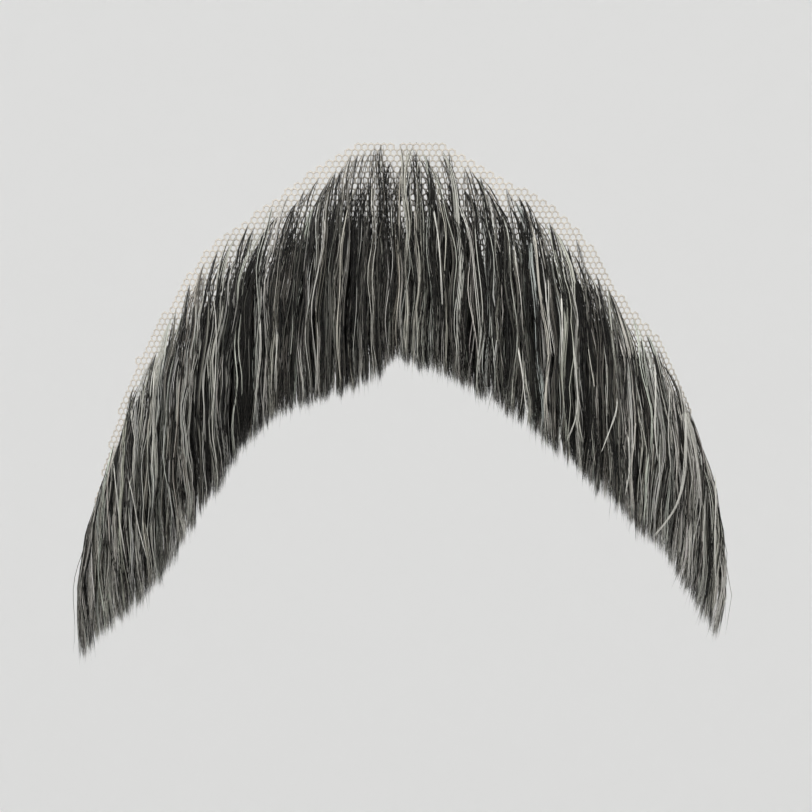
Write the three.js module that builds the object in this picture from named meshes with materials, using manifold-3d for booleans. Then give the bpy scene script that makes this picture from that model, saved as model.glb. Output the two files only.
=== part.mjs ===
// A drooping false moustache: two wings of long hair on a curved lace base.
// Millimetres, +Z up. X runs across the lip, the hair faces -Y and the back of the lace faces +Y.
// The origin is on the back of the lace, over the middle of the upper lip.

import * as THREE from 'three';
import { mergeVertices } from 'three/addons/utils/BufferGeometryUtils.js';
import Module from 'manifold-3d';

const wasm = await Module();
wasm.setup();

// Driving dimensions, mm
const span = 74.5; // across both wings
const crownRise = 11.2; // highest roots above the origin
const notchDrop = 10.9; // lower edge at the parting, below the origin
const tipDrop = 43.7; // wing tips below the origin
const wrap = 16.6; // how far behind the middle the outer edges lie, round the cheeks
const lipLean = 0.12; // the lip comes forward by this much for each mm down
const jawRecede = 4; // how much further back the wing tips lie
const laceThickness = 1;
const laceMargin = 1; // lace left above the roots
const clearance = 0.3; // hair to lace, and wing to wing
const rootDepth = 1; // hair thickness along the root line
const hairDepth = 5.2; // fullest hair thickness
const hemDepth = 2.8; // hair thickness along the lower edge
const lockWidth = 2.9; // across one lock at its fullest
const lockDepth = 2.2; // front to back
const lockSway = 0.35; // how far a lock wanders to either side
const slimLock = 0.6; // a lock's least width, in the thinnest hair, as a share of lockWidth
const unlike = 0.12; // how much locks differ in width, as a share of it

// Shares of a hair's length: where it is fullest, and where the mat under the locks starts and ends
const crest = 0.56;
const matStart = 0.02;
const matEnd = 0.92;

const matShare = 0.85; // the mat's share of the hair's thickness
const laceReach = 0.97; // the lace's share of each wing's width

// How a lock narrows: its width at the root, and the shares of its length that its ends take up
const rootWidth = 0.5;
const rootEnd = 0.3;
const tipEnd = 0.35;
const tipBlunt = 0.02; // how far short of a sharp point its tip stops

// How finely the curved surfaces are cut into flat ones
const laceColumns = 36;
const laceRows = 4;
const matColumns = 18;
const matRows = 6;
const lockSides = 6;
const lockRings = 7;

const halfSpan = span / 2;
const wrapRadius = (halfSpan ** 2 + wrap ** 2) / (2 * wrap);
const fullHeight = crownRise + tipDrop;
const hang = tipDrop - notchDrop;

// One row for each hair drawn from the parting to the outer edge.
// rootX, tipX and bow are shares of halfSpan, and bow is how far the hair swells sideways.
// rootZ is a share of fullHeight, down from the crown. lowLeft and lowRight are shares of hang, down
// from the notch. full is a share of hairDepth, and lace the share of the hair that the lace backs.
const flow = [
  { rootX: 0, rootZ: 0.02, tipX: 0, lowLeft: 0, lowRight: 0, bow: 0, full: 0.86, lace: 0.66 },
  { rootX: 0.12, rootZ: 0, tipX: 0.13, lowLeft: 0.1, lowRight: 0.06, bow: 0, full: 0.93, lace: 0.66 },
  { rootX: 0.23, rootZ: 0.04, tipX: 0.26, lowLeft: 0.16, lowRight: 0.13, bow: 0, full: 1, lace: 0.65 },
  { rootX: 0.35, rootZ: 0.12, tipX: 0.39, lowLeft: 0.22, lowRight: 0.23, bow: 0, full: 1, lace: 0.63 },
  { rootX: 0.47, rootZ: 0.16, tipX: 0.52, lowLeft: 0.36, lowRight: 0.34, bow: 0, full: 1, lace: 0.6 },
  { rootX: 0.59, rootZ: 0.22, tipX: 0.64, lowLeft: 0.56, lowRight: 0.47, bow: 0, full: 0.97, lace: 0.56 },
  { rootX: 0.7, rootZ: 0.34, tipX: 0.75, lowLeft: 0.74, lowRight: 0.64, bow: 0, full: 0.9, lace: 0.52 },
  { rootX: 0.81, rootZ: 0.42, tipX: 0.85, lowLeft: 0.86, lowRight: 0.74, bow: 0.01, full: 0.8, lace: 0.48 },
  { rootX: 0.88, rootZ: 0.52, tipX: 0.91, lowLeft: 0.94, lowRight: 0.86, bow: 0.02, full: 0.66, lace: 0.38 },
  { rootX: 0.92, rootZ: 0.61, tipX: 0.97, lowLeft: 1.01, lowRight: 0.98, bow: 0.03, full: 0.42, lace: 0.12 },
];

// Rows of locks on each wing. start and end are shares of a hair's length, and uneven is how much
// they change from lock to lock. ride is the share of the hair's thickness at which a lock lies.
const lockRows = [
  { count: 16, first: 0.03, last: 0.97, start: 0.0, end: 1.01, uneven: 0.03, ride: 0.8, wide: 1.0 },
  { count: 14, first: 0.06, last: 0.94, start: 0.4, end: 0.99, uneven: 0.04, ride: 0.42, wide: 1.1 },
];

const { clamp, lerp, smoothstep } = THREE.MathUtils;

// Smooth values of one column of the flow table, for u from 0 at the parting to 1 at the edge
function column(name) {
  const curve = new THREE.SplineCurve(flow.map((row, i) => new THREE.Vector2(i, row[name])));
  return (u) => curve.getPoint(clamp(u, 0, 1)).y;
}

const rootX = column('rootX');
const rootZ = column('rootZ');
const tipX = column('tipX');
const bow = column('bow');
const full = column('full');
const laceShare = column('lace');
const lowLeft = column('lowLeft');
const lowRight = column('lowRight');

// A repeatable number from -1 to 1 for lock i, so that no two locks are alike. kind picks the list
function vary(i, kind) {
  const wave = Math.sin(i * 12.9898 + kind * 78.233) * 43758.5453;
  return 2 * (wave - Math.floor(wave)) - 1;
}

// The skin side: curved around the lip, sloping with it, and further back at the wing tips
function skinY(x, z) {
  const round = wrapRadius - Math.sqrt(wrapRadius ** 2 - x ** 2);
  const lean = lipLean * z * (1 - (x / halfSpan) ** 2);
  const drop = Math.max(0, -notchDrop - z) / hang;
  return round + lean + jawRecede * drop ** 2;
}

// The place on the hair drawn at u, a share v of its length below its root
function flowPoint(side, u, v) {
  const settle = 1 - (1 - Math.min(v, 1)) ** 2;
  const across = lerp(rootX(u), tipX(u), settle) + bow(u) * 4 * v * (1 - v);
  const top = crownRise - rootZ(u) * fullHeight;
  const bottom = -notchDrop - (side < 0 ? lowLeft(u) : lowRight(u)) * hang;
  return { x: side * across * halfSpan, z: lerp(top, bottom, v) };
}

// Thickness of the hair, thin at the root, full at the crest and thinner again at the lower edge
function hairThickness(u, v) {
  const most = Math.max(hairDepth * full(u), rootDepth);
  if (v < crest) {
    return lerp(rootDepth, most, Math.sin(Math.PI / 2 * Math.max(v, 0) / crest));
  }
  const past = (v - crest) / (1 - crest);
  return most - (most - Math.min(hemDepth, most) * full(u)) * past ** 2;
}

// A box drawn out over part of a wing. place takes a corner's u, v and front, from 0 to 1
function bentSlab(columns, rows, place) {
  const geometry = new THREE.BoxGeometry(1, 1, 1, columns, 1, rows);
  const corners = geometry.attributes.position;
  for (let i = 0; i < corners.count; i += 1) {
    const across = corners.getX(i) + 0.5;
    const front = 0.5 - corners.getY(i);
    const down = 0.5 - corners.getZ(i);
    const point = place(across, down, front);
    corners.setXYZ(i, point.x, point.y, point.z);
  }
  return geometry;
}

// The lace runs through both wings, from one outer edge to the other
function laceGeometry() {
  const margin = laceMargin / (crownRise + notchDrop);
  return bentSlab(laceColumns, laceRows, (across, down, front) => {
    const signed = (2 * across - 1) * laceReach;
    const side = signed < 0 ? -1 : 1;
    const u = Math.abs(signed);
    const { x, z } = flowPoint(side, u, lerp(-margin, laceShare(u), down));
    return { x, y: skinY(x, z) - laceThickness * front, z };
  });
}

const hairBack = (x, z) => skinY(x, z) - laceThickness - clearance;

// The mat: the body of hair that the locks lie on
function matGeometry(side) {
  return bentSlab(matColumns, matRows, (across, down, front) => {
    const u = side > 0 ? across : 1 - across;
    const v = lerp(matStart, matEnd, down);
    const { x, z } = flowPoint(side, u, v);
    return { x, y: hairBack(x, z) - matShare * hairThickness(u, v) * front, z };
  });
}

// A lock's width a share t of its length below its root, as a share of its fullest width
function lockTaper(t) {
  const root = lerp(rootWidth, 1, smoothstep(t, 0, rootEnd));
  const tip = Math.sqrt(clamp((1 + tipBlunt - t) / tipEnd, 0, 1));
  return root * tip;
}

// One lock: a flattened tube that follows the flow from its root to its tip
function lockGeometry(side, row, i) {
  const u = lerp(row.first, row.last, i / (row.count - 1));
  const start = row.start + row.uneven * vary(i, 1) / 2;
  const end = row.end + row.uneven * vary(i, 2 + side);
  const width = lockWidth * row.wide * lerp(slimLock, 1, full(u)) * (1 + unlike * vary(i, 4));
  const sway = side * lockSway * vary(i, 5);
  const geometry = new THREE.CylinderGeometry(1, 1, 1, lockSides, lockRings);
  const corners = geometry.attributes.position;
  for (let k = 0; k < corners.count; k += 1) {
    const t = 0.5 - corners.getY(k);
    const v = lerp(start, end, t);
    const { x, z } = flowPoint(side, u, v);
    const halfWidth = width / 2 * lockTaper(t);
    const halfDepth = lockDepth / 2 * lockTaper(t);
    const lie = Math.max(row.ride * hairThickness(u, v), halfDepth);
    const middle = x + sway * Math.sin(2 * Math.PI * t);
    const y = hairBack(x, z) - lie - halfDepth * corners.getZ(k);
    corners.setXYZ(k, middle + halfWidth * corners.getX(k), y, z);
  }
  return geometry;
}

function toSolid(geometry) {
  geometry.deleteAttribute('normal');
  geometry.deleteAttribute('uv');
  const closed = mergeVertices(geometry);
  return new wasm.Manifold(new wasm.Mesh({
    numProp: 3,
    vertProperties: closed.attributes.position.array,
    triVerts: new Uint32Array(closed.index.array),
  }));
}

function fromSolid(solid) {
  const mesh = solid.getMesh();
  const geometry = new THREE.BufferGeometry();
  geometry.setAttribute('position', new THREE.BufferAttribute(mesh.vertProperties, 3));
  geometry.setIndex(new THREE.BufferAttribute(mesh.triVerts, 1));
  geometry.computeVertexNormals();
  return geometry;
}

// Everything on one side of the parting, which keeps the two wings apart
function halfSpace(side) {
  const size = 2 * span;
  const box = new THREE.BoxGeometry(size, size, size);
  box.translate(side * (size + clearance) / 2, 0, 0);
  return toSolid(box);
}

function wingGeometry(side) {
  let wing = toSolid(matGeometry(side));
  for (const row of lockRows) {
    for (let i = 0; i < row.count; i += 1) {
      wing = wing.add(toSolid(lockGeometry(side, row, i)));
    }
  }
  return fromSolid(wing.intersect(halfSpace(side)));
}

const hairMaterial = new THREE.MeshStandardMaterial({ color: 0x4f4d48, roughness: 0.55, metalness: 0 });
const laceMaterial = new THREE.MeshStandardMaterial({ color: 0xd9cdbb, roughness: 0.85, metalness: 0 });

function piece(name, geometry, material) {
  const mesh = new THREE.Mesh(geometry, material);
  mesh.name = name;
  return mesh;
}

const moustache = new THREE.Group();
moustache.add(piece('lace_base', laceGeometry(), laceMaterial));
moustache.add(piece('hair_left', wingGeometry(-1), hairMaterial.clone()));
moustache.add(piece('hair_right', wingGeometry(1), hairMaterial.clone()));

export default moustache;
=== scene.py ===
# A drooping false moustache: long dark and grey hair, knotted by hand to a fine curved lace base

import math

import bpy
import numpy as np
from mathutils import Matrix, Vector


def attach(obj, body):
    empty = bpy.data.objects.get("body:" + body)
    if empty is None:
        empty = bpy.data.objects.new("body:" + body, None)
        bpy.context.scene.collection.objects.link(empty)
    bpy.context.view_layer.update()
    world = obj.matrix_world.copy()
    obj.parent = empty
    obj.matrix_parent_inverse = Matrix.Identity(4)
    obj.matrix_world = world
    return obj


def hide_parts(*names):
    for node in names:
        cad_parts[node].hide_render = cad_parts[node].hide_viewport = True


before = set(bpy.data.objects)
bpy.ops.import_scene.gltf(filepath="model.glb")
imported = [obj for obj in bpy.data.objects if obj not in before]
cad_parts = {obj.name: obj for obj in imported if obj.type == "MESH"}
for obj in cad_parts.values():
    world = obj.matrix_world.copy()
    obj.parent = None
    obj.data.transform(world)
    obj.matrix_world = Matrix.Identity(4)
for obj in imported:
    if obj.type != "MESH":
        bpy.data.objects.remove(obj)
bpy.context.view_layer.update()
mm = 0.001
rng = np.random.default_rng(64)

# The form of the worn moustache: every piece follows it

face = {  # metres
    "halfSpan": 37.25 * mm,
    "crownRise": 11.2 * mm,  # highest roots above the origin
    "notchDrop": 10.9 * mm,  # lower edge at the parting
    "tipDrop": 43.7 * mm,
    "wrap": 16.6 * mm,  # how far behind the middle the outer edges lie
    "lean": 0.12,  # how much the lip comes forward for each unit down
    "recede": 4 * mm,  # how much further back the wing tips lie
    "lace": 0.5 * mm,  # from the skin to the threads of the lace
    "front": 1.3 * mm,  # from the skin to the back of the hair
    "rootDepth": 1 * mm,
    "hairDepth": 5.2 * mm,
    "hemDepth": 2.8 * mm,
    "leastDepth": 0.4 * mm,
    "crest": 0.56,  # where the hair is thickest, as a share of its length
}

flow = {  # one value for each hair drawn from the parting to the outer edge
    "rootX": (0, 0.12, 0.23, 0.35, 0.47, 0.59, 0.70, 0.81, 0.88, 0.92),  # share of halfSpan
    "highLeft": (-0.015, -0.015, 0.02, 0.08, 0.14, 0.205, 0.31, 0.435, 0.565, 0.66),  # of the height, down
    "highRight": (-0.015, -0.02, 0.02, 0.065, 0.11, 0.192, 0.307, 0.385, 0.475, 0.56),
    "tipX": (0, 0.13, 0.26, 0.39, 0.52, 0.64, 0.75, 0.85, 0.925, 0.99),
    "lowLeft": (0, 0.10, 0.16, 0.22, 0.37, 0.57, 0.755, 0.87, 0.95, 1.05),  # share of the hang, down
    "lowRight": (0, 0.06, 0.13, 0.23, 0.345, 0.465, 0.59, 0.70, 0.83, 0.98),
    "bowLeft": (0, 0, 0, 0, 0, 0, 0, 0, 0.005, 0.01),  # how far the hair swells sideways
    "bowRight": (0, 0, 0, 0, 0, 0, 0, 0.015, 0.025, 0.03),
    "full": (0.86, 0.93, 1, 1, 1, 0.97, 0.90, 0.80, 0.66, 0.42),  # share of hairDepth
    "lace": (0.66, 0.66, 0.65, 0.63, 0.60, 0.56, 0.52, 0.48, 0.38, 0.12),  # share backed by lace
}

wrapRadius = (face["halfSpan"] ** 2 + face["wrap"] ** 2) / (2 * face["wrap"])
hang = face["tipDrop"] - face["notchDrop"]
fullHeight = face["crownRise"] + face["tipDrop"]


def smooth(low, high, value):
    t = np.clip((value - low) / (high - low), 0, 1)
    return t * t * (3 - 2 * t)


def drawn(name, u):  # a smooth curve through the values of one row of the flow table
    values = np.array(flow[name], float)
    place = np.clip(u, 0, 1) * (len(values) - 1)
    i = np.minimum(place.astype(int), len(values) - 2)
    t = place - i
    before, a, b, after = (values[np.clip(i + k, 0, len(values) - 1)] for k in (-1, 0, 1, 2))
    slopeA, slopeB = (b - before) / 2, (after - a) / 2
    bend = (2 * a - 2 * b + slopeA + slopeB) * t**3
    return bend + (3 * b - 3 * a - 2 * slopeA - slopeB) * t**2 + slopeA * t + a


def drawnSide(name, s):  # the same for rows that differ from wing to wing
    u = np.abs(s)
    return np.where(s < 0, drawn(name + "Left", u), drawn(name + "Right", u))


def hairPoint(s, v):  # s runs from -1 to 1 across both wings, v is the share of a hair's length
    u = np.abs(s)
    settle = 1 - (1 - np.minimum(v, 1)) ** 2
    across = drawn("rootX", u) + (drawn("tipX", u) - drawn("rootX", u)) * settle
    across = across + drawnSide("bow", s) * 4 * v * (1 - v)
    top = face["crownRise"] - drawnSide("high", s) * fullHeight
    bottom = -face["notchDrop"] - drawnSide("low", s) * hang
    return np.sign(s) * across * face["halfSpan"], top + (bottom - top) * v


def skinY(x, z):
    x = np.clip(x, -wrapRadius, wrapRadius)
    curve = wrapRadius - np.sqrt(wrapRadius**2 - x**2)
    slope = face["lean"] * z * (1 - (x / face["halfSpan"]) ** 2)
    drop = np.maximum(0, -face["notchDrop"] - z) / hang
    return curve + slope + face["recede"] * drop**2


def skinNormal(x, z):  # points out of the skin, to the front
    step = 0.1 * mm
    slopeX = (skinY(x + step, z) - skinY(x - step, z)) / (2 * step)
    slopeZ = (skinY(x, z + step) - skinY(x, z - step)) / (2 * step)
    normal = np.stack([slopeX, -np.ones_like(x), slopeZ], axis=-1)
    return normal / np.linalg.norm(normal, axis=-1, keepdims=True)


def thickness(s, v):  # of all the hair, at this place
    full = drawn("full", np.abs(s))
    most = np.maximum(face["hairDepth"] * full, face["rootDepth"])
    rise = np.sin(math.pi / 2 * np.clip(v / face["crest"], 0, 1))
    upper = face["rootDepth"] + (most - face["rootDepth"]) * rise
    past = (v - face["crest"]) / (1 - face["crest"])
    lower = most - (most - np.minimum(face["hemDepth"], most) * full) * past**2
    return np.maximum(np.where(v < face["crest"], upper, lower), face["leastDepth"])


# Studio

studio = {
    "floor": -160 * mm,
    "radius": 3.0,  # of the pale bowl that closes the view on every side
    "height": 3.0,
    "sides": 96,
    "cove": 0.9,  # how widely the floor turns up into the wall
    "coveSteps": 10,
    "paper": (0.88, 0.88, 0.875),
    "paintedFloorShade": (0.70, 0.70, 0.695),  # painted shade on the floor: darker nearer than the first reach, and blended out by the second
    "paintedShadeReach": (1.0, 2.3),
    "paperRoughness": 0.9,
    "camera": (0.0, -1.9, -35.5 * mm),
    "aim": (0.8 * mm, 0.0, -16.4 * mm),
    "lens": 737,
    "farthest": 20,  # that the camera sees
    "sky": 0.76,
}

lights = {  # place, size, watts
    "key": ((-0.7, -1.75, 0.62), 0.7, 17.5),
    "fill": ((1.1, -1.6, 0.15), 1.2, 4.5),
    "top": ((0.1, -0.5, 1.5), 0.9, 8),
    "rim": ((0.5, 1.2, 0.7), 0.8, 5),
}


def newMaterial(name):
    material = bpy.data.materials.new(name)
    material.use_nodes = True
    return material, material.node_tree, material.node_tree.nodes["Principled BSDF"]


def lookAlong(place, target):
    return Vector(np.array(target) - np.array(place)).to_track_quat("-Z", "Y").to_euler()


def makeCamera():
    bpy.ops.object.camera_add(location=studio["camera"])
    camera = bpy.context.object
    camera.data.lens = studio["lens"]
    camera.data.clip_end = studio["farthest"]
    camera.rotation_euler = lookAlong(studio["camera"], studio["aim"])
    bpy.context.scene.camera = camera
    bpy.context.scene.view_settings.view_transform = "Standard"


def paperMaterial():  # painted shade: the floor is painted darker near the object, so that seen from above it isn't white
    material, tree, shader = newMaterial("pale_paper_painted_shade")
    place, far = tree.nodes.new("ShaderNodeTexCoord"), tree.nodes.new("ShaderNodeVectorMath")
    far.operation = "LENGTH"
    tree.links.new(place.outputs["Object"], far.inputs[0])
    blend = tree.nodes.new("ShaderNodeMapRange")
    blend.interpolation_type = "SMOOTHSTEP"
    blend.inputs["From Min"].default_value, blend.inputs["From Max"].default_value = studio["paintedShadeReach"]
    tree.links.new(far.outputs["Value"], blend.inputs["Value"])
    # mixes the painted floor shade into the even paper colour
    paper = tree.nodes.new("ShaderNodeMix")
    paper.data_type = "RGBA"
    paper.inputs["A"].default_value = studio["paintedFloorShade"] + (1,)
    paper.inputs["B"].default_value = studio["paper"] + (1,)
    tree.links.new(blend.outputs["Result"], paper.inputs["Factor"])
    tree.links.new(paper.outputs["Result"], shader.inputs["Base Color"])
    shader.inputs["Roughness"].default_value = studio["paperRoughness"]
    return material


def makeBowl():
    height = studio["height"]
    bpy.ops.object.select_all(action="DESELECT")
    bpy.ops.mesh.primitive_cylinder_add(vertices=studio["sides"], radius=studio["radius"], depth=height,
                                        location=(0, 0, studio["floor"] + height / 2))
    bowl = bpy.context.object
    bowl.name = "pale_bowl"
    bpy.ops.object.transform_apply(location=True, rotation=True, scale=True)
    bpy.ops.object.mode_set(mode="EDIT")
    bpy.ops.mesh.select_all(action="DESELECT")
    bpy.ops.object.mode_set(mode="OBJECT")
    for side in bowl.data.polygons:
        side.select = side.normal.z > 0.5
    bpy.ops.object.mode_set(mode="EDIT")
    bpy.ops.mesh.select_mode(type="FACE")
    bpy.ops.mesh.delete(type="ONLY_FACE")  # opens the top
    bpy.ops.object.mode_set(mode="OBJECT")
    for edge in bowl.data.edges:
        low = [bowl.data.vertices[i].co.z < studio["floor"] + 10 * mm for i in edge.vertices]
        edge.select = all(low)
    bpy.ops.object.mode_set(mode="EDIT")
    bpy.ops.mesh.select_mode(type="EDGE")
    bpy.ops.mesh.bevel(offset=studio["cove"], segments=studio["coveSteps"])
    bpy.ops.mesh.select_all(action="SELECT")
    bpy.ops.mesh.normals_make_consistent(inside=True)
    bpy.ops.object.mode_set(mode="OBJECT")
    bpy.ops.object.shade_smooth()
    bowl.data.materials.append(paperMaterial())
    print("bowl:", len(bowl.data.polygons), "faces")


def lightStudio():
    for name, (place, size, watts) in lights.items():
        bpy.ops.object.light_add(type="AREA", location=place, rotation=lookAlong(place, studio["aim"]))
        light = bpy.context.object
        light.name = name
        light.data.size = size
        light.data.energy = watts
    world = bpy.data.worlds.new("studio")
    bpy.context.scene.world = world
    world.use_nodes = True
    world.node_tree.nodes["Background"].inputs["Color"].default_value = (1, 1, 1, 1)
    world.node_tree.nodes["Background"].inputs["Strength"].default_value = studio["sky"]
    print("lights:", len(lights))


makeCamera()
makeBowl()
lightStudio()


# Uneven dye, as hair and thread have it


def makeVariation():
    group = bpy.data.node_groups.new("unevenDye", "ShaderNodeTree")
    for name, kind, start in (("Color", "NodeSocketColor", (0.5, 0.5, 0.5, 1)),
                              ("Scale", "NodeSocketFloat", 500), ("Amount", "NodeSocketFloat", 0.2)):
        group.interface.new_socket(name, in_out="INPUT", socket_type=kind).default_value = start
    group.interface.new_socket("Color", in_out="OUTPUT", socket_type="NodeSocketColor")
    group.interface.new_socket("Mask", in_out="OUTPUT", socket_type="NodeSocketFloat")
    nodes, links = group.nodes, group.links
    given, result = nodes.new("NodeGroupInput"), nodes.new("NodeGroupOutput")
    place, stretch = nodes.new("ShaderNodeTexCoord"), nodes.new("ShaderNodeMapping")
    stretch.inputs["Scale"].default_value = (1, 1, 0.3)  # the clouds are longer down the hair
    cloud = nodes.new("ShaderNodeTexNoise")
    cloud.inputs["Detail"].default_value = 3
    links.new(place.outputs["Object"], stretch.inputs["Vector"])
    links.new(stretch.outputs["Vector"], cloud.inputs["Vector"])
    links.new(given.outputs["Scale"], cloud.inputs["Scale"])
    centred = nodes.new("ShaderNodeMath")  # from -1 to 1
    centred.operation = "MULTIPLY_ADD"
    centred.inputs[1].default_value = 2
    centred.inputs[2].default_value = -1
    links.new(cloud.outputs["Fac"], centred.inputs[0])
    factor = nodes.new("ShaderNodeMath")  # around 1
    factor.operation = "MULTIPLY_ADD"
    factor.inputs[2].default_value = 1
    links.new(centred.outputs["Value"], factor.inputs[0])
    links.new(given.outputs["Amount"], factor.inputs[1])
    scaled = nodes.new("ShaderNodeVectorMath")
    scaled.operation = "SCALE"
    links.new(given.outputs["Color"], scaled.inputs[0])
    links.new(factor.outputs["Value"], scaled.inputs["Scale"])
    links.new(scaled.outputs["Vector"], result.inputs["Color"])
    links.new(cloud.outputs["Fac"], result.inputs["Mask"])
    return group


def addVariation(tree, finish):
    group = tree.nodes.new("ShaderNodeGroup")
    group.node_tree = bpy.data.node_groups["unevenDye"]
    group.inputs["Scale"].default_value = finish["dyeScale"]
    group.inputs["Amount"].default_value = finish["dyeAmount"]
    return group


def addRange(tree, source, low, high):  # turns a mask into values from low to high
    spread = tree.nodes.new("ShaderNodeMapRange")
    spread.inputs["From Min"].default_value = 0.25
    spread.inputs["From Max"].default_value = 0.75
    spread.inputs["To Min"].default_value = low
    spread.inputs["To Max"].default_value = high
    tree.links.new(source, spread.inputs["Value"])
    return spread.outputs["Result"]


def addBump(tree, shader, source, finish):
    bump = tree.nodes.new("ShaderNodeBump")
    bump.inputs["Strength"].default_value = finish["bump"]
    bump.inputs["Distance"].default_value = finish["relief"]
    tree.links.new(source, bump.inputs["Height"])
    tree.links.new(bump.outputs["Normal"], shader.inputs["Normal"])


makeVariation()

# Lace

lace = {
    "pitch": 0.74 * mm,  # across one cell
    "thread": 0.205 * mm,
    "margin": 1.1 * mm,  # above the root line
    "reach": 0.97,  # share of each wing's width
    "twist": 0.8 * mm,
    "twistUneven": 1.5,
    "color": (0.60, 0.56, 0.50),
    "dyeScale": 300,
    "dyeAmount": 0.22,
    "roughness": (0.68, 0.86),
    "specular": 0.2,
    "bump": 0.5,
    "relief": 0.02 * mm,
}


def laceOutline():  # in the flat, before it is curved round the lip
    s = np.linspace(-lace["reach"], lace["reach"], 121)
    margin = lace["margin"] / (face["crownRise"] + face["notchDrop"])
    top = hairPoint(s, np.full_like(s, -margin))
    low = hairPoint(s, drawn("lace", np.abs(s)))
    x = np.concatenate([top[0], low[0][::-1]])
    z = np.concatenate([top[1], low[1][::-1]])
    return np.arcsin(np.clip(x / wrapRadius, -1, 1)) * wrapRadius, z


def insideOutline(px, pz, outlineX, outlineZ):
    hit = np.zeros(px.shape, bool)
    for x0, z0, x1, z1 in zip(outlineX, outlineZ, np.roll(outlineX, -1), np.roll(outlineZ, -1)):
        crosses = (z0 > pz) != (z1 > pz)
        hit ^= crosses & (px < (x1 - x0) * (pz - z0) / (z1 - z0 + 1e-12) + x0)
    return hit


def layCells(width, height):  # two six-sided cells, side by side in neighbouring rows, and repeated
    pitch = lace["pitch"]
    rowStep = pitch * math.sqrt(3)
    bpy.ops.object.select_all(action="DESELECT")
    bpy.ops.mesh.primitive_circle_add(vertices=6, radius=pitch / math.sqrt(3), fill_type="NGON")
    net = bpy.context.object
    net.name = "lace_net"
    bpy.ops.object.mode_set(mode="EDIT")
    bpy.ops.mesh.duplicate_move()
    bpy.ops.transform.translate(value=(pitch / 2, rowStep / 2, 0))
    bpy.ops.object.mode_set(mode="OBJECT")
    for name, step, count in (("across", (pitch, 0, 0), int(width / pitch) + 3),
                              ("down", (0, rowStep, 0), int(height / rowStep) + 3)):
        array = net.modifiers.new(name, "ARRAY")
        array.use_relative_offset = False
        array.use_constant_offset = True
        array.constant_offset_displace = step
        array.count = count
        bpy.ops.object.modifier_apply(modifier=name)
    return net


def cutNet(net, edgeX, edgeZ):  # keeps the cells whose middle lies inside the outline
    pitch = lace["pitch"]
    bpy.ops.object.mode_set(mode="EDIT")
    bpy.ops.mesh.select_all(action="SELECT")
    bpy.ops.mesh.remove_doubles(threshold=pitch / 20)
    bpy.ops.transform.translate(value=(edgeX.min() - pitch, edgeZ.min() - pitch, 0))
    bpy.ops.mesh.select_all(action="DESELECT")
    bpy.ops.mesh.select_mode(type="FACE")
    bpy.ops.object.mode_set(mode="OBJECT")
    centres = np.array([cell.center for cell in net.data.polygons])
    outside = ~insideOutline(centres[:, 0], centres[:, 1], edgeX, edgeZ)
    net.data.polygons.foreach_set("select", outside)
    bpy.ops.object.mode_set(mode="EDIT")
    bpy.ops.mesh.delete(type="FACE")
    bpy.ops.object.mode_set(mode="OBJECT")


def bendNet(net):  # round the lip and the cheeks
    flat = np.empty(len(net.data.vertices) * 3)
    net.data.vertices.foreach_get("co", flat)
    flat = flat.reshape(-1, 3)
    x = wrapRadius * np.sin(flat[:, 0] / wrapRadius)
    z = flat[:, 1]
    worn = np.stack([x, skinY(x, z) - face["lace"], z], axis=-1)
    net.data.vertices.foreach_set("co", worn.ravel())
    net.data.update()
    return x, z


def makeLace():
    edgeX, edgeZ = laceOutline()
    width, height = edgeX.max() - edgeX.min(), edgeZ.max() - edgeZ.min()
    net = layCells(width, height)
    cutNet(net, edgeX, edgeZ)
    x, z = bendNet(net)
    threads = net.modifiers.new("threads", "WIREFRAME")
    threads.thickness = lace["thread"]
    threads.use_even_offset = True
    threads.use_boundary = True
    bpy.ops.object.modifier_apply(modifier="threads")
    bpy.ops.object.shade_smooth()
    bpy.ops.object.transform_apply(location=True, rotation=True, scale=True)
    net.data.materials.append(laceMaterial())
    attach(net, "root")
    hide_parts("lace_base")
    return x, z


def laceMaterial():
    material, tree, shader = newMaterial("lace_thread")
    dye = addVariation(tree, lace)
    dye.inputs["Color"].default_value = lace["color"] + (1,)
    tree.links.new(dye.outputs["Color"], shader.inputs["Base Color"])
    tree.links.new(addRange(tree, dye.outputs["Mask"], *lace["roughness"]), shader.inputs["Roughness"])
    shader.inputs["Specular IOR Level"].default_value = lace["specular"]
    place = tree.nodes.new("ShaderNodeTexCoord")
    twist = tree.nodes.new("ShaderNodeTexWave")  # the two plies of each thread
    twist.bands_direction = "DIAGONAL"
    twist.inputs["Scale"].default_value = 1 / lace["twist"]
    twist.inputs["Distortion"].default_value = lace["twistUneven"]
    tree.links.new(place.outputs["Object"], twist.inputs["Vector"])
    addBump(tree, shader, twist.outputs["Fac"], lace)
    return material


# Hair

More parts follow.
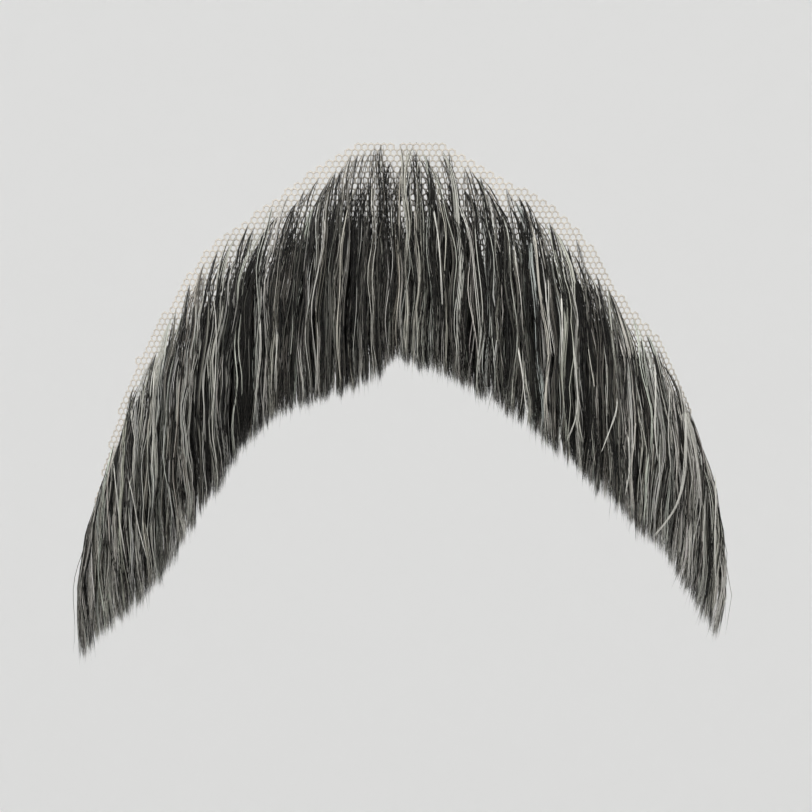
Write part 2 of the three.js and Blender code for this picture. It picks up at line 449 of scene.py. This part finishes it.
hair = {
    "layers": {  # strands in each wing, and points along each
        "outer": (1900, 16),
        "middle": (2350, 11),
        "under": (4600, 6),
    },
    "radius": 0.046 * mm,
    # knots: heights are shares of the lace, down from the root line
    "spikes": 150,  # thin bunches that start along the top edge of each wing
    "spikeStart": (-0.09, 0.20),
    "spikeSize": (0.008, 0.01),  # across and down
    "fringe": 0.10,  # share of strands in them
    "dense": 0.17,  # where all the rest starts
    "denseMiddle": 0.25,  # how much lower that is in the middle
    "drift": 1.2 * mm,  # how far hair runs outwards from its root before it turns down
    "driftLength": 2.2 * mm,
    "lean": 0.9 * mm,  # how far it leans either way in the middle
    # bunches
    "tufts": 880,  # small bunches that share a bend and a tone
    "tuftHeight": 6.5 * mm,  # what the height of the lace counts for, beside a distance across
    "locks": 54,  # wider bunches that sway together
    "gather": 0.5,  # how far a tuft closes up towards its tip
    "gatherRun": (1 * mm, 15 * mm),  # how far from the root it starts and stops to
    "strays": 0.035,  # share of strands that leave their tuft
    "strayDrift": 1.0 * mm,
    "strayLift": 0.8 * mm,
    # bends
    "inward": 0.8 * mm,  # how far the ends turn back towards the middle
    "free": 7 * mm,  # how far from its knot a strand sways freely
    "tuftSway": 0.17 * mm,
    "tuftWave": (1.7, 0.35),  # its length in mm a radian, and how much tufts differ
    "tuftRise": 0.3 * mm,
    "lockSway": 0.20 * mm,
    "lockWave": 3.1,
    "frizz": 0.08 * mm,
    "frizzWave": (1.6 * mm, 3.2 * mm),
    "tipDrift": 0.3 * mm,
    "ownDrift": 0.12 * mm,
    "roundness": 0.3 * mm,  # how much lower a tuft's edges lie than its middle
    "least": 0.11 * mm,  # from the lace
    # ends, as shares of the hair's length
    "end": 1.018,
    "unevenEnds": (0.012, 0.007, 0.02),  # by tuft, by lock and by strand
    "long": 0.03,  # share of strands
    "longer": (0.01, 0.05),
    "short": 0.16,  # share of strands
    "shorter": (0.55, 0.95),  # share of their length that is left
    # colours
    "dark": (0.010, 0.0096, 0.0083),
    "mid": (0.130, 0.125, 0.108),
    "light": (0.52, 0.513, 0.465),
    "kindEdges": (0.5, 0.76),  # bunches are dark below the first, mixed, and light above the second
    "lightShare": (0.03, 0.17, 0.74),  # of the strands in each kind of bunch
    "midShare": (0.11, 0.50, 0.17),
    "lightStrays": 0.3,
    "kindSpread": 0.12,
    "kindShift": -0.05,
    "outerLight": 0.34,  # how much lighter bunches are towards the outer edges
    "spikeDark": 0.08,
    "litRootsDryTips": (1.4, 0.93, 1.05),  # how light each hair is at its root, middle and tip: the roots are painted light, standing for light showing through between them; the lighter tips are dry ends
    "dyeScale": 420,
    "dyeAmount": 0.35,
    "roughness": (0.36, 0.56),
    "specular": 0.24,
    "bump": 0.3,
    "relief": 0.02 * mm,
}


def nearestOf(x, z, targetX, targetZ):  # which target is nearest to each point
    best = []
    for start in range(0, len(x), 400):
        part = slice(start, start + 400)
        far = (x[part, None] - targetX[None]) ** 2 + (z[part, None] - targetZ[None]) ** 2
        best.append(far.argmin(axis=1))
    return np.concatenate(best)


def placeOf(x, z):  # the s and v of a point of the hair
    s = np.linspace(-0.999, 0.999, 360)
    v = np.linspace(-0.1, 1.06, 200)
    gridS, gridV = (a.ravel() for a in np.meshgrid(s, v, indexing="ij"))
    gridX, gridZ = hairPoint(gridS, gridV)
    nearest = nearestOf(x, z, gridX, gridZ)
    return gridS[nearest], gridV[nearest]


def rootNodes(x, z):  # the crossings of the lace that can carry a knot
    s, v = placeOf(x, z)
    keep = (v > -0.08) & (v < drawn("lace", np.abs(s)) - 0.01)
    return x[keep], z[keep]


def strandPoints(paths, outward, thick):  # a point at each end, and a ring of three at each station
    along = np.gradient(paths, axis=1)
    along /= np.linalg.norm(along, axis=-1, keepdims=True)
    across = np.cross(along, outward)
    across /= np.linalg.norm(across, axis=-1, keepdims=True)
    lift = np.cross(across, along)
    angles = np.arange(3) * 2 * math.pi / 3
    ring = np.cos(angles)[:, None] * across[:, :, None, :] + np.sin(angles)[:, None] * lift[:, :, None, :]
    tubes = (paths[:, :, None, :] + thick[:, :, None, None] * ring)[:, 1:-1]
    return np.concatenate([paths[:, :1], tubes.reshape(len(paths), -1, 3), paths[:, -1:]], axis=1)


def strandFaces(rings):  # of one strand: the quads along it, and three triangles at each end
    j = np.arange(3)
    nextJ = (j + 1) % 3
    k = 1 + 3 * np.arange(rings - 1)[:, None]
    quads = np.stack([k + j, k + 3 + j, k + 3 + nextJ, k + nextJ], axis=-1).reshape(-1, 4)
    last, tip = 3 * rings - 2, 3 * rings + 1
    rootFaces = np.stack([0 * j, 1 + j, 1 + nextJ], axis=-1)
    tipFaces = np.stack([last + nextJ, last + j, 0 * j + tip], axis=-1)
    return quads, np.concatenate([rootFaces, tipFaces])


def strandMesh(name, paths, outward, thick, tones):
    points = strandPoints(paths, outward, thick)
    (count, each), stations = points.shape[:2], paths.shape[1]
    rings = stations - 2
    quads, triangles = strandFaces(rings)
    first = np.arange(count)[:, None, None] * each
    corners = np.concatenate([(first + quads).ravel(), (first + triangles).ravel()]).astype(np.int32)
    sizes = np.concatenate([np.full(count * len(quads), 4), np.full(count * len(triangles), 3)])
    starts = np.concatenate([[0], np.cumsum(sizes)[:-1]]).astype(np.int32)
    mesh = bpy.data.meshes.new(name)
    mesh.vertices.add(count * each)
    mesh.vertices.foreach_set("co", points.ravel())
    mesh.loops.add(len(corners))
    mesh.loops.foreach_set("vertex_index", corners)
    mesh.polygons.add(len(sizes))
    mesh.polygons.foreach_set("loop_start", starts)
    mesh.polygons.foreach_set("use_smooth", np.ones(len(sizes), bool))
    mesh.update(calc_edges=True)
    paintTones(mesh, np.broadcast_to(tones[:, None, :], points.shape))
    station = np.concatenate([[0], np.repeat(np.arange(1, stations - 1), 3), [stations - 1]])
    shares = np.broadcast_to(station / (stations - 1), (count, each)).astype(np.float32)
    mesh.attributes.new("along", "FLOAT", "POINT").data.foreach_set("value", shares.ravel())
    mapStrands(mesh, count, rings)
    return placePiece(name, mesh)


def paintTones(mesh, tones):  # a colour for each point
    colours = np.ones(tones.shape[:2] + (4,), np.float32)
    colours[:, :, :3] = tones
    mesh.color_attributes.new("tone", "FLOAT_COLOR", "POINT").data.foreach_set("color", colours.ravel())


def mapStrands(mesh, count, rings):  # a cell of the map for each strand
    cells = math.ceil(math.sqrt(count))
    column = (np.arange(count) % cells)[:, None, None, None]
    row = (np.arange(count) // cells)[:, None, None, None]
    j = np.arange(3)[None, None, :, None]
    k = np.arange(rings - 1)[None, :, None, None]
    sideStep = np.array([0, 0, 1, 1])[None, None, None, :]
    ringStep = np.array([0, 1, 1, 0])[None, None, None, :]
    u = (column + 0.1 + 0.8 * (j + sideStep) / 3) / cells
    v = (row + 0.2 + 0.6 * (k + ringStep) / (rings - 1)) / cells
    body = np.stack(np.broadcast_arrays(u, v), axis=-1).reshape(-1, 2)
    rootU = column[:, :, 0] + 0.1 + 0.8 * (np.arange(3)[:, None] + np.array([0.5, 0, 1])) / 3
    tipU = column[:, :, 0] + 0.1 + 0.8 * (np.arange(3)[:, None] + np.array([1, 0, 0.5])) / 3
    rootV = np.broadcast_to(row[:, :, 0] + np.array([0.1, 0.2, 0.2]), rootU.shape)
    tipV = np.broadcast_to(row[:, :, 0] + np.array([0.8, 0.8, 0.9]), tipU.shape)
    ends = np.stack([np.concatenate([rootU, tipU], axis=1), np.concatenate([rootV, tipV], axis=1)], axis=-1)
    places = np.concatenate([body, ends.reshape(-1, 2) / cells]).astype(np.float32)
    mesh.uv_layers.new(name="OFBake").data.foreach_set("uv", places.ravel())


def placePiece(name, mesh):
    piece = bpy.data.objects.new(name, mesh)
    bpy.context.collection.objects.link(piece)
    piece.data.materials.append(bpy.data.materials["mixed_hair"])
    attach(piece, "root")
    return piece


def hairMaterial():
    material, tree, shader = newMaterial("mixed_hair")
    nodes, links = tree.nodes, tree.links
    tone = nodes.new("ShaderNodeAttribute")
    tone.attribute_name = "tone"
    along = nodes.new("ShaderNodeAttribute")
    along.attribute_name = "along"
    shade = tone.outputs["Color"]
    root, middle, tip = hair["litRootsDryTips"]
    # painted light: each hair is lighter near its root, for light coming through between the roots; the
    # lighter tips are dry ends, the hair's own colour
    for start, end, low, high in ((0, 0.3, root, middle), (0.6, 1, 1, tip / middle)):
        fade = nodes.new("ShaderNodeMapRange")
        fade.inputs["From Min"].default_value = start
        fade.inputs["From Max"].default_value = end
        fade.inputs["To Min"].default_value = low
        fade.inputs["To Max"].default_value = high
        links.new(along.outputs["Fac"], fade.inputs["Value"])
        faded = nodes.new("ShaderNodeVectorMath")
        faded.operation = "SCALE"
        links.new(shade, faded.inputs[0])
        links.new(fade.outputs["Result"], faded.inputs["Scale"])
        shade = faded.outputs["Vector"]
    dye = addVariation(tree, hair)
    links.new(shade, dye.inputs["Color"])
    links.new(dye.outputs["Color"], shader.inputs["Base Color"])
    links.new(addRange(tree, dye.outputs["Mask"], *hair["roughness"]), shader.inputs["Roughness"])
    shader.inputs["Specular IOR Level"].default_value = hair["specular"]
    addBump(tree, shader, dye.outputs["Mask"], hair)
    return material


def plantWing(side, firstSpike):  # how far across each strand hangs, how low its knot is, and its spike
    wing = sum(number for number, stations in hair["layers"].values())
    spikes = hair["spikes"]
    across = rng.uniform(0.002, 0.995, 3 * wing)
    across = across[rng.random(3 * wing) < (0.35 + drawn("full", across)) / 1.35][:wing]
    dense = hair["dense"] + hair["denseMiddle"] * (1 - smooth(0.02, 0.12, across))
    rank = dense + (1 - dense) * rng.random(wing) ** 0.75
    spikeU = (np.arange(spikes) + rng.uniform(0, 1, spikes)) / spikes * 0.99
    spikeRank = rng.uniform(*hair["spikeStart"], spikes)
    thin = int(hair["fringe"] * wing)
    own = rng.integers(0, spikes, thin)
    wide, high = hair["spikeSize"]
    across[:thin] = np.clip(spikeU[own] + rng.normal(0, wide, thin), 0.001, 0.995)
    rank[:thin] = spikeRank[own] + rng.normal(0, high, thin)
    spike = np.full(wing, -1)
    spike[:thin] = own + firstSpike
    order = rank.argsort()
    return side * across[order], rank[order], spike[order], side * spikeU, spikeRank


def gatherBunches(s, rank, spike, spikeS, spikeRank):  # each strand joins its spike or the nearest tuft
    pick = rng.choice(np.flatnonzero(spike < 0), hair["tufts"], replace=False)
    bunch = {"bunchS": np.concatenate([spikeS, s[pick]]),
             "bunchRank": np.concatenate([spikeRank, rank[pick]])}
    span, height = face["halfSpan"], hair["tuftHeight"]
    nearest = nearestOf(s * span, rank * height, s[pick] * span, rank[pick] * height)
    own = np.where(spike < 0, len(spikeS) + nearest, spike)
    count, locks = len(bunch["bunchS"]), hair["locks"]
    lockEdges = np.cumsum(rng.uniform(0.6, 1.4, locks))
    lockEdges = -1.02 + 2.04 * lockEdges / lockEdges[-1]
    lock = np.digitize(bunch["bunchS"] + rng.normal(0, 0.01, count), lockEdges)
    lock = np.clip(lock, 0, locks - 1)
    tuftWays = ("drift", "lean", "end", "grip", "wave", "phase", "tip", "lift")
    bunch.update(zip(tuftWays, rng.normal(0, 1, (count, len(tuftWays))).T))
    lockWays = ("lockEnd", "lockPhase", "lockTip", "lockSpare")  # the last isn't used
    bunch.update(zip(lockWays, rng.normal(0, 1, (locks, len(lockWays)))[lock].T))
    return own, bunch


def chooseKnots(s, rank, spike, mine, nodeX, nodeZ):  # which crossing of the lace each strand is tied to
    side, u = np.sign(s), np.abs(s)
    middle = smooth(0.0, 0.16, u)
    drift = hair["drift"] * (1 + 0.5 * mine["drift"]) * (1 - 0.6 * u**2) * middle
    drift = drift + hair["lean"] * (1 - middle) * (0.7 * mine["lean"] + rng.normal(0, 0.7, len(s)))
    pull = np.where(spike < 0, 0.35, 0.9)  # how far a bunch shares its knots
    wantS = s + pull * (mine["bunchS"] - s)
    wantV = (rank + pull * (mine["bunchRank"] - rank)) * drawn("lace", u)
    wantX, wantZ = hairPoint(wantS, wantV)
    return nearestOf(wantX - side * drift, wantZ, nodeX, nodeZ)


def cutEnds(start, mine):  # where each strand ends, as a share of the hair's length
    count = len(start)
    byTuft, byLock, byStrand = hair["unevenEnds"]
    end = hair["end"] + byTuft * mine["end"] + byLock * mine["lockEnd"]
    end = end - np.abs(rng.normal(0, byStrand, count))
    end = np.where(rng.random(count) < hair["long"], end + rng.uniform(*hair["longer"], count), end)
    short = rng.random(count) < hair["short"]
    return np.where(short, start + (end - start) * rng.uniform(*hair["shorter"], count), end)


def chooseTones(own, bunch, stray):
    count, bunches = len(own), len(bunch["bunchS"])
    order = np.lexsort((bunch["bunchS"], bunch["bunchRank"] > 0.45))
    kind = np.empty(bunches)
    kind[order] = np.arange(bunches) * 0.618034 % 1  # neighbours differ: dark, mixed or light bunches
    kind = kind + hair["kindSpread"] * rng.normal(0, 1, bunches) + hair["kindShift"]
    kind = kind + hair["outerLight"] * smooth(0.45, 0.85, np.abs(bunch["bunchS"]))
    chance = rng.random(count)
    kind[:2 * hair["spikes"]] -= hair["spikeDark"]
    kind = np.digitize(kind, hair["kindEdges"])[own]
    lightShare = np.where(stray, hair["lightStrays"], np.array(hair["lightShare"])[kind])
    midShare = np.array(hair["midShare"])[kind]
    isLight = chance < lightShare
    isMid = ~isLight & (chance < lightShare + midShare)
    dark, mid, light = (np.array(hair[name]) for name in ("dark", "mid", "light"))
    base = np.where(isLight[:, None], light, np.where(isMid[:, None], mid, dark))
    warmth = 0.018 * rng.normal(0, 1, bunches)[own]
    olive = 0.012 * rng.normal(0, 1, bunches)[own]
    tint = np.stack([1 + warmth - olive, 1 + olive, 1 - warmth - olive], axis=-1)
    return base * tint * rng.uniform(0.7, 1.3, (count, 1))


def growHair(nodeX, nodeZ):
    wings = (plantWing(-1, 0), plantWing(1, hair["spikes"]))
    s, rank, spike, spikeS, spikeRank = (np.concatenate(parts) for parts in zip(*wings))
    own, bunch = gatherBunches(s, rank, spike, spikeS, spikeRank)
    mine = {name: values[own] for name, values in bunch.items()}
    stray = rng.random(len(s)) < hair["strays"]
    node = chooseKnots(s, rank, spike, mine, nodeX, nodeZ)
    top, bottom = hairPoint(s, np.zeros(len(s)))[1], hairPoint(s, np.ones(len(s)))[1]
    start = np.clip((top - nodeZ[node]) / (top - bottom), -0.09, 0.9)
    strands = {"s": s, "rank": rank, "stray": stray, "length": top - bottom, "start": start,
               "shift": nodeX[node] - hairPoint(s, start)[0], "stop": cutEnds(start, mine)}
    strands.update(mine)
    tones = chooseTones(own, bunch, stray)
    first = 0
    for wingName in ("left", "right"):
        for layerName, (number, stations) in hair["layers"].items():
            part = slice(first, first + number)
            first += number
            columns = {name: values[part, None] for name, values in strands.items()}
            paths, outward, thick = strandPaths(number, stations, columns)
            piece = strandMesh(f"{layerName}_hair_{wingName}", paths, outward, thick, tones[part])
            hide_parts("hair_" + wingName)
            print(piece.name, number, "strands")
    return np.unique(node)


def strandPaths(count, stations, of):  # of holds one value for each strand, by name
    s1, start, stray = of["s"], of["start"], of["stray"]
    t = np.linspace(0, 1, stations) ** 1.15
    v = start + (of["stop"] - start) * t
    run = (v - start) * of["length"]
    share = run / of["length"]
    free = smooth(0, hair["free"], run)

    # sideways
    grip = hair["gather"] * (1 + 0.35 * of["grip"]) * np.where(stray, 0.1, 1)
    close = grip * smooth(*hair["gatherRun"], run) + 0.3 * smooth(0.8, 1, t) * ~stray
    s = s1 + (of["bunchS"] - s1) * np.clip(close, 0, 0.9)
    x, z = hairPoint(np.clip(s, -1, 1), v)
    x = x + of["shift"] * np.exp(-run / hair["driftLength"])
    u = np.abs(s)
    turned = smooth(0.35, 1, v) * smooth(0.3, 0.75, u) * (1 - smooth(0.9, 1, u))
    x = x - np.sign(s1) * hair["inward"] * turned
    level = z / mm
    wave, unlike = hair["tuftWave"]
    tuftPhase = level / (wave + unlike * np.clip(of["wave"], -2, 2)) + 6 * of["phase"]
    lockPhase = level / hair["lockWave"] + 6 * of["lockPhase"]
    x = x + hair["tuftSway"] * np.sin(tuftPhase) * free + hair["lockSway"] * np.sin(lockPhase) * free
    x = x + hair["tipDrift"] * (of["tip"] + of["lockTip"]) * share**2
    ownPhase = run / rng.uniform(*hair["frizzWave"], (count, 1)) + rng.uniform(0, 6.3, (count, 1))
    ownFrizz = hair["frizz"] * rng.uniform(0.3, 1.5, (count, 1)) * np.where(stray, 2, 1)
    x = x + ownFrizz * np.sin(ownPhase) * free
    strayDrift = rng.normal(0, hair["strayDrift"], (count, 1))
    x = x + np.where(stray, strayDrift, rng.normal(0, hair["ownDrift"], (count, 1))) * share**1.5

    # outwards
    layer = 1.0 - 0.98 * np.maximum(of["rank"] - 0.1, 0) + 0.05 * of["lift"]
    layer = np.clip(layer + rng.normal(0, 0.03, (count, 1)), 0.04, 1.05)
    depth = face["front"] - face["lace"] + thickness(np.clip(s, -1, 1), np.clip(v, 0, 1.05))
    rise = smooth(-0.5 * mm, 3.4 * mm, run)
    rim = np.clip(np.abs(of["bunchS"] - s1) * face["halfSpan"] / (0.7 * mm), 0, 1.2)
    lift = layer * depth * rise - hair["roundness"] * rim**2 * free
    lift = lift + hair["tuftRise"] * np.cos(tuftPhase * 0.8) * free + ownFrizz * np.cos(ownPhase) * free
    lift = lift + np.where(stray, rng.uniform(0, hair["strayLift"], (count, 1)), 0) * free
    lift = np.maximum(lift, hair["least"])
    paths = np.stack([x, skinY(x, z) - face["lace"] - lift, z], axis=-1)
    taper = 0.85 + 0.15 * smooth(0, 0.15, t) - 0.6 * smooth(0.6, 1, t)
    thick = hair["radius"] * rng.uniform(0.8, 1.2, (count, 1)) * taper
    return paths, skinNormal(x, z), thick


loose = {
    "radius": 0.06 * mm,
    "curlStrands": 5,  # side by side in the first path, which is a curl
    "strands": 2,  # in each of the others
    "wave": 0.05 * mm,
    "proud": 0.7 * mm,
    "stations": 18,
    "tone": (0.62, 0.61, 0.56),
    "paths": (  # millimetres across and up, from root to tip
        ((32.8, -16.5), (32.9, -20.9), (32.8, -24.0), (32.2, -27.7), (30.9, -29.3), (29.0, -31.5)),
        ((25.0, -15.0), (25.0, -16.8), (24.0, -19.6), (23.1, -21.8)),
        ((19.8, -8.5), (20.1, -11.8), (20.6, -15.5), (20.1, -18.7), (19.1, -20.5)),
        ((16.8, -1.3), (17.0, -7.0), (17.6, -10.9)),
        ((18.5, -3.2), (18.6, -7.0), (18.5, -11.8)),
        ((29.3, -11.4), (29.2, -18.7), (29.5, -22.8)),
        ((31.0, -13.3), (30.8, -20.3), (31.1, -24.4)),
        ((26.2, -19.0), (26.5, -23.4), (25.9, -26.8)),
        ((36.4, -24.0), (36.3, -31.2), (36.4, -37.5)),
        ((13.5, -9.0), (14.2, -14.3), (14.7, -17.8)),
        ((6.5, 7.5), (8.2, 3.0), (8.9, -4.0), (9.2, -9.5)),
        ((3.6, 7.5), (4.6, 2.0), (4.9, -5.5)),
        ((-21.2, -3.8), (-20.7, -9.3), (-21.0, -14.3), (-21.5, -18.1)),
        ((-15.8, -5.0), (-15.8, -10.8), (-16.5, -17.6)),
        ((-13.9, -7.0), (-14.1, -15.0)),
        ((-28.0, -12.0), (-28.1, -16.8), (-28.2, -24.4)),
        ((-32.9, -21.7), (-32.3, -27.5), (-31.8, -31.2), (-31.3, -34.2)),
        ((-31.2, -23.9), (-30.1, -28.7), (-29.6, -31.2), (-28.9, -34.0)),
        ((-30.7, -16.5), (-30.2, -20.5), (-30.4, -24.7)),
    ),
}


def softLine(path, t):  # points along a path, with its corners rounded off
    points = np.array(path) * mm
    steps = np.linalg.norm(np.diff(points, axis=0), axis=1)
    along = np.concatenate([[0], np.cumsum(steps)]) / steps.sum()
    line = np.stack([np.interp(t, along, points[:, k]) for k in range(2)], axis=-1)
    for rounds in range(8):
        line[1:-1] = (line[:-2] + 2 * line[1:-1] + line[2:]) / 4
    return line


def addLooseHairs():  # hairs that lie on top of all the others
    paths = []
    t = np.linspace(0, 1, loose["stations"])
    for path in loose["paths"]:
        line = softLine(path, t)
        strands = loose["strands"] if paths else loose["curlStrands"]
        for strand in range(strands):
            offset = rng.normal(0, 0.025 * mm * strands)
            offset = offset + loose["wave"] * np.sin(9 * t + rng.uniform(0, 6.3))
            paths.append(line + np.stack([offset, 0 * t], axis=-1))
    x, z = np.array(paths)[..., 0], np.array(paths)[..., 1]
    s, v = (a.reshape(x.shape) for a in placeOf(x.ravel(), z.ravel()))
    depth = face["front"] + thickness(s, v) + loose["proud"]
    y = skinY(x, z) - depth * (0.8 + 0.2 * smooth(0, 0.2, t))
    count = len(x)
    thick = loose["radius"] * (0.9 - 0.5 * smooth(0.6, 1, t)) * rng.uniform(0.8, 1.1, (count, 1))
    tones = np.array(loose["tone"]) * rng.uniform(0.8, 1.1, (count, 1))
    piece = strandMesh("loose_hairs", np.stack([x, y, z], axis=-1), skinNormal(x, z), thick, tones)
    print(piece.name, count, "strands")


knots = {
    "radius": 0.1 * mm,
    "shape": (0.9, 1.0, 1.15),  # across, out of the lace and down
    "sizes": (0.8, 1.15),
    "tones": (1, 4),  # times the darkest hair's
}


def tieKnots(x, z):  # one small knot on each crossing that carries hair
    bpy.ops.object.select_all(action="DESELECT")
    bpy.ops.mesh.primitive_ico_sphere_add(subdivisions=1, radius=knots["radius"])
    knot = bpy.context.object
    shape = np.array([corner.co for corner in knot.data.vertices])
    faces = np.array([side.vertices for side in knot.data.polygons])
    bpy.ops.object.delete()
    count = len(x)
    centres = np.stack([x, skinY(x, z) - face["lace"], z], axis=-1)
    size = rng.uniform(*knots["sizes"], (count, 1, 1)) * np.array(knots["shape"])
    points = (centres[:, None, :] + shape * size).reshape(-1, 3)
    corners = (faces[None] + len(shape) * np.arange(count)[:, None, None]).reshape(-1, 3)
    mesh = bpy.data.meshes.new("knots")
    mesh.from_pydata(points.tolist(), [], corners.tolist())
    mesh.polygons.foreach_set("use_smooth", np.ones(len(corners), bool))
    tones = np.array(hair["dark"]) * rng.uniform(*knots["tones"], (count, 1, 1))
    paintTones(mesh, np.broadcast_to(tones, (count, len(shape), 3)))
    # the knots carry no along value, so the hair material also gives them the roots' painted light
    placePiece("knots", mesh)
    print("knots:", count)


hairMaterial()
nodeX, nodeZ = rootNodes(*makeLace())
used = growHair(nodeX, nodeZ)
addLooseHairs()
tieKnots(nodeX[used], nodeZ[used])
